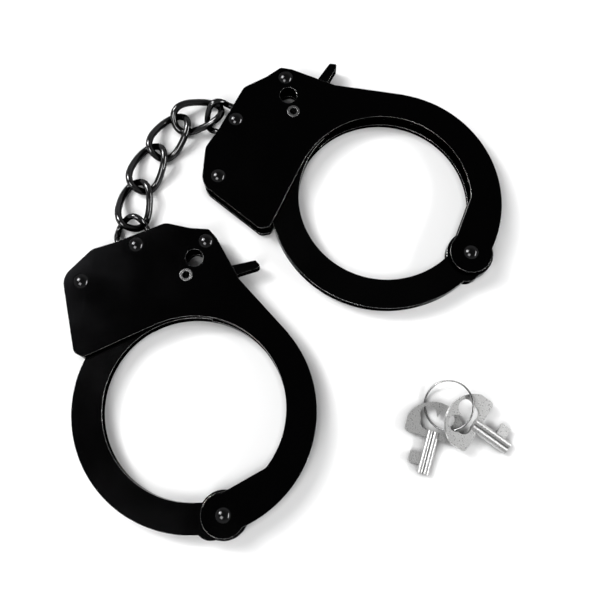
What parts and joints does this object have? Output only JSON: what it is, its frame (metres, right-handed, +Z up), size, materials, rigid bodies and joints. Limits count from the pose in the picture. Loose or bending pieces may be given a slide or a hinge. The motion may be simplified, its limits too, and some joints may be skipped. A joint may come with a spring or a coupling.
{
  "type": "chain handcuffs",
  "caption": "Pair of chain handcuffs lying flat: two riveted lock cases with swinging toothed strands, a short chain, and two keys on a split ring.",
  "frame": {"origin": "middle of the object's box, at its underside, which lies on the ground", "axes": "+Z up, normal to the flat of both cuffs; +Y from cuff a towards cuff b"},
  "size_m": [0.1438, 0.1601, 0.0096],
  "materials": {
    "black_plate": "satin black",
    "black_strand": "semi-gloss black",
    "black_rivet": "gloss black",
    "black_chain": "gloss black",
    "spring_steel": "satin",
    "nickel_key": "satin nickel",
    "nickel_ring": "bright"
  },
  "bodies": {
    "cuff_a": {"cheek_bottom_a": "black_plate", "cheek_top_a": "black_plate", "lock_frame_a": "black_plate", "pawl_spring_a": "spring_steel", "pawl_eyelet_a": "black_rivet", "rivet_left_a": "black_rivet", "rivet_middle_a": "black_rivet", "rivet_right_a": "black_rivet", "pivot_rivet_a": "black_rivet"},
    "strand_a": {"strand_a": "black_strand"},
    "pawl_a": {"pawl_lever_a": "black_strand"},
    "end_ring_a": {"end_ring_a": "black_chain"},
    "cuff_b": {"cheek_bottom_b": "black_plate", "cheek_top_b": "black_plate", "lock_frame_b": "black_plate", "pawl_spring_b": "spring_steel", "pawl_eyelet_b": "black_rivet", "rivet_left_b": "black_rivet", "rivet_middle_b": "black_rivet", "rivet_right_b": "black_rivet", "pivot_rivet_b": "black_rivet"},
    "strand_b": {"strand_b": "black_strand"},
    "pawl_b": {"pawl_lever_b": "black_strand"},
    "end_ring_b": {"end_ring_b": "black_chain"},
    "chain_link_1": {"chain_link_1": "black_chain"},
    "chain_link_2": {"chain_link_2": "black_chain"},
    "chain_link_3": {"chain_link_3": "black_chain"},
    "chain_link_4": {"chain_link_4": "black_chain"},
    "split_ring": {"split_ring": "nickel_ring"},
    "key_1": {"key_1": "nickel_key"},
    "key_2": {"key_2": "nickel_key"}
  },
  "joints": [
    {"name": "strand_swing_a", "type": "hinge", "parent": "cuff_a", "child": "strand_a", "pos_m": [-0.01844, -0.07225, 0.00425], "axis": [0, 0, 1], "range_deg": [-42, 230]},
    {"name": "strand_swing_b", "type": "hinge", "parent": "cuff_b", "child": "strand_b", "pos_m": [0.06104, 0.01105, 0.00425], "axis": [0, 0, 1], "range_deg": [-155, 17]},
    {"name": "pawl_lift_a", "type": "hinge", "parent": "cuff_a", "child": "pawl_a", "pos_m": [-0.03204, 0.00325, 0.00425], "axis": [0, 0, 1], "range_deg": [0, 8], "stiffness_Nm_per_rad": 0.002, "springref_deg": -11.46, "deforming": ["pawl_spring_a"]},
    {"name": "pawl_lift_b", "type": "hinge", "parent": "cuff_b", "child": "pawl_b", "pos_m": [0.0027, 0.06087, 0.00425], "axis": [0, 0, 1], "range_deg": [0, 4.5], "stiffness_Nm_per_rad": 0.002, "springref_deg": -11.46, "deforming": ["pawl_spring_b"]},
    {"name": "end_ring_swing_a", "type": "hinge", "parent": "cuff_a", "child": "end_ring_a", "pos_m": [-0.04884, 0.01365, 0.00425], "axis": [0, 0, 1], "range_deg": [-2, 8]},
    {"name": "chain_bend_4", "type": "hinge", "parent": "end_ring_a", "child": "chain_link_4", "pos_m": [-0.05266, 0.02195, 0.0036], "axis": [0, 0, -1], "range_deg": [-30, 0]},
    {"name": "chain_bend_3", "type": "hinge", "parent": "chain_link_4", "child": "chain_link_3", "pos_m": [-0.05017, 0.036, 0.00305], "axis": [0, 0, 1], "range_deg": [-3, 30]},
    {"name": "chain_bend_2", "type": "hinge", "parent": "chain_link_3", "child": "chain_link_2", "pos_m": [-0.04446, 0.04876, 0.00305], "axis": [0, 0, -1], "range_deg": [-30, 3]},
    {"name": "chain_bend_1", "type": "hinge", "parent": "chain_link_2", "child": "chain_link_1", "pos_m": [-0.03729, 0.06069, 0.00305], "axis": [0, 0, 1], "range_deg": [-2, 30]},
    {"name": "chain_bend_b", "type": "hinge", "parent": "chain_link_1", "child": "end_ring_b", "pos_m": [-0.02457, 0.06298, 0.0036], "axis": [0, 0, -1], "range_deg": [-30, 3]},
    {"name": "end_ring_swing_b", "type": "hinge", "parent": "end_ring_b", "child": "cuff_b", "pos_m": [-0.01689, 0.05827, 0.00425], "axis": [0, 0, 1], "range_deg": [-3, 10]},
    {"name": "split_ring_lift", "type": "slide", "parent": "cuff_a", "child": "split_ring", "axis": [0, 0, 1], "range_m": [0, 0.06]},
    {"name": "key_swing_1", "type": "hinge", "parent": "split_ring", "child": "key_1", "pos_m": [0.0443, -0.043, 0.002], "axis": [0, 0, 1], "range_deg": [-20, 5]},
    {"name": "key_swing_2", "type": "hinge", "parent": "split_ring", "child": "key_2", "pos_m": [0.0545, -0.042, 0.004], "axis": [0, 0, 1], "range_deg": [-8, 5]}
  ]
}
